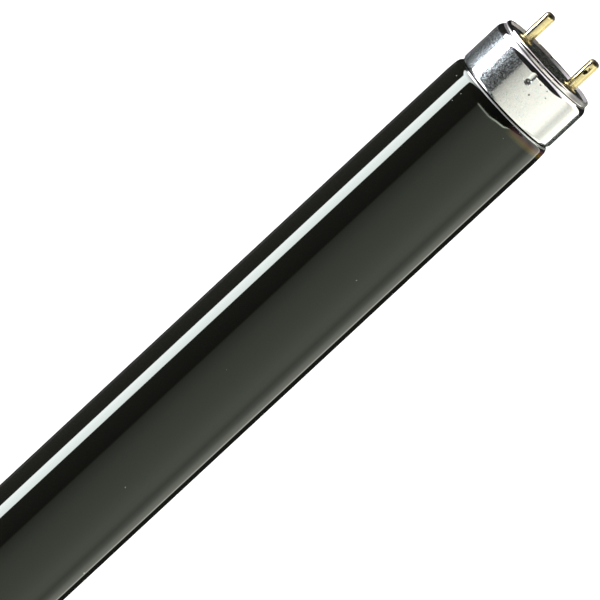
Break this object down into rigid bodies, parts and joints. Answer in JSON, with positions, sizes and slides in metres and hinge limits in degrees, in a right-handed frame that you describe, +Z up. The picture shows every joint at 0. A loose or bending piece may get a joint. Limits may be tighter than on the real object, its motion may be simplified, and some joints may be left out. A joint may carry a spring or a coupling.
{
  "type": "fluorescent tube",
  "caption": "Straight fluorescent tube of near-black ultraviolet-filter glass, with an aluminium cap and hollow brass contact pins on a moulded insulator at each end.",
  "frame": {"origin": "middle of the tube, on its axis, halfway between the pin tips", "axes": "+X along the tube towards the pictured end (named right), the pins of an end side by side along Y, +Z up"},
  "size_m": [0.6036, 0.0254, 0.0254],
  "materials": {
    "filter_glass": "gloss",
    "cap_aluminium": "polished",
    "insulator_phenolic": "matte",
    "pin_brass": "polished",
    "cap_cement": "matte",
    "lead_metal": "satin"
  },
  "bodies": {
    "root": {"glass_tube": "filter_glass", "right_cap_shell": "cap_aluminium", "left_cap_shell": "cap_aluminium", "right_insulator": "insulator_phenolic", "left_insulator": "insulator_phenolic", "right_contact_pin_1": "pin_brass", "right_contact_pin_2": "pin_brass", "left_contact_pin_1": "pin_brass", "left_contact_pin_2": "pin_brass", "right_cement_ring": "cap_cement", "left_cement_ring": "cap_cement", "right_lead_wire_1": "lead_metal", "right_lead_wire_2": "lead_metal", "left_lead_wire_1": "lead_metal", "left_lead_wire_2": "lead_metal"}
  },
  "joints": []
}
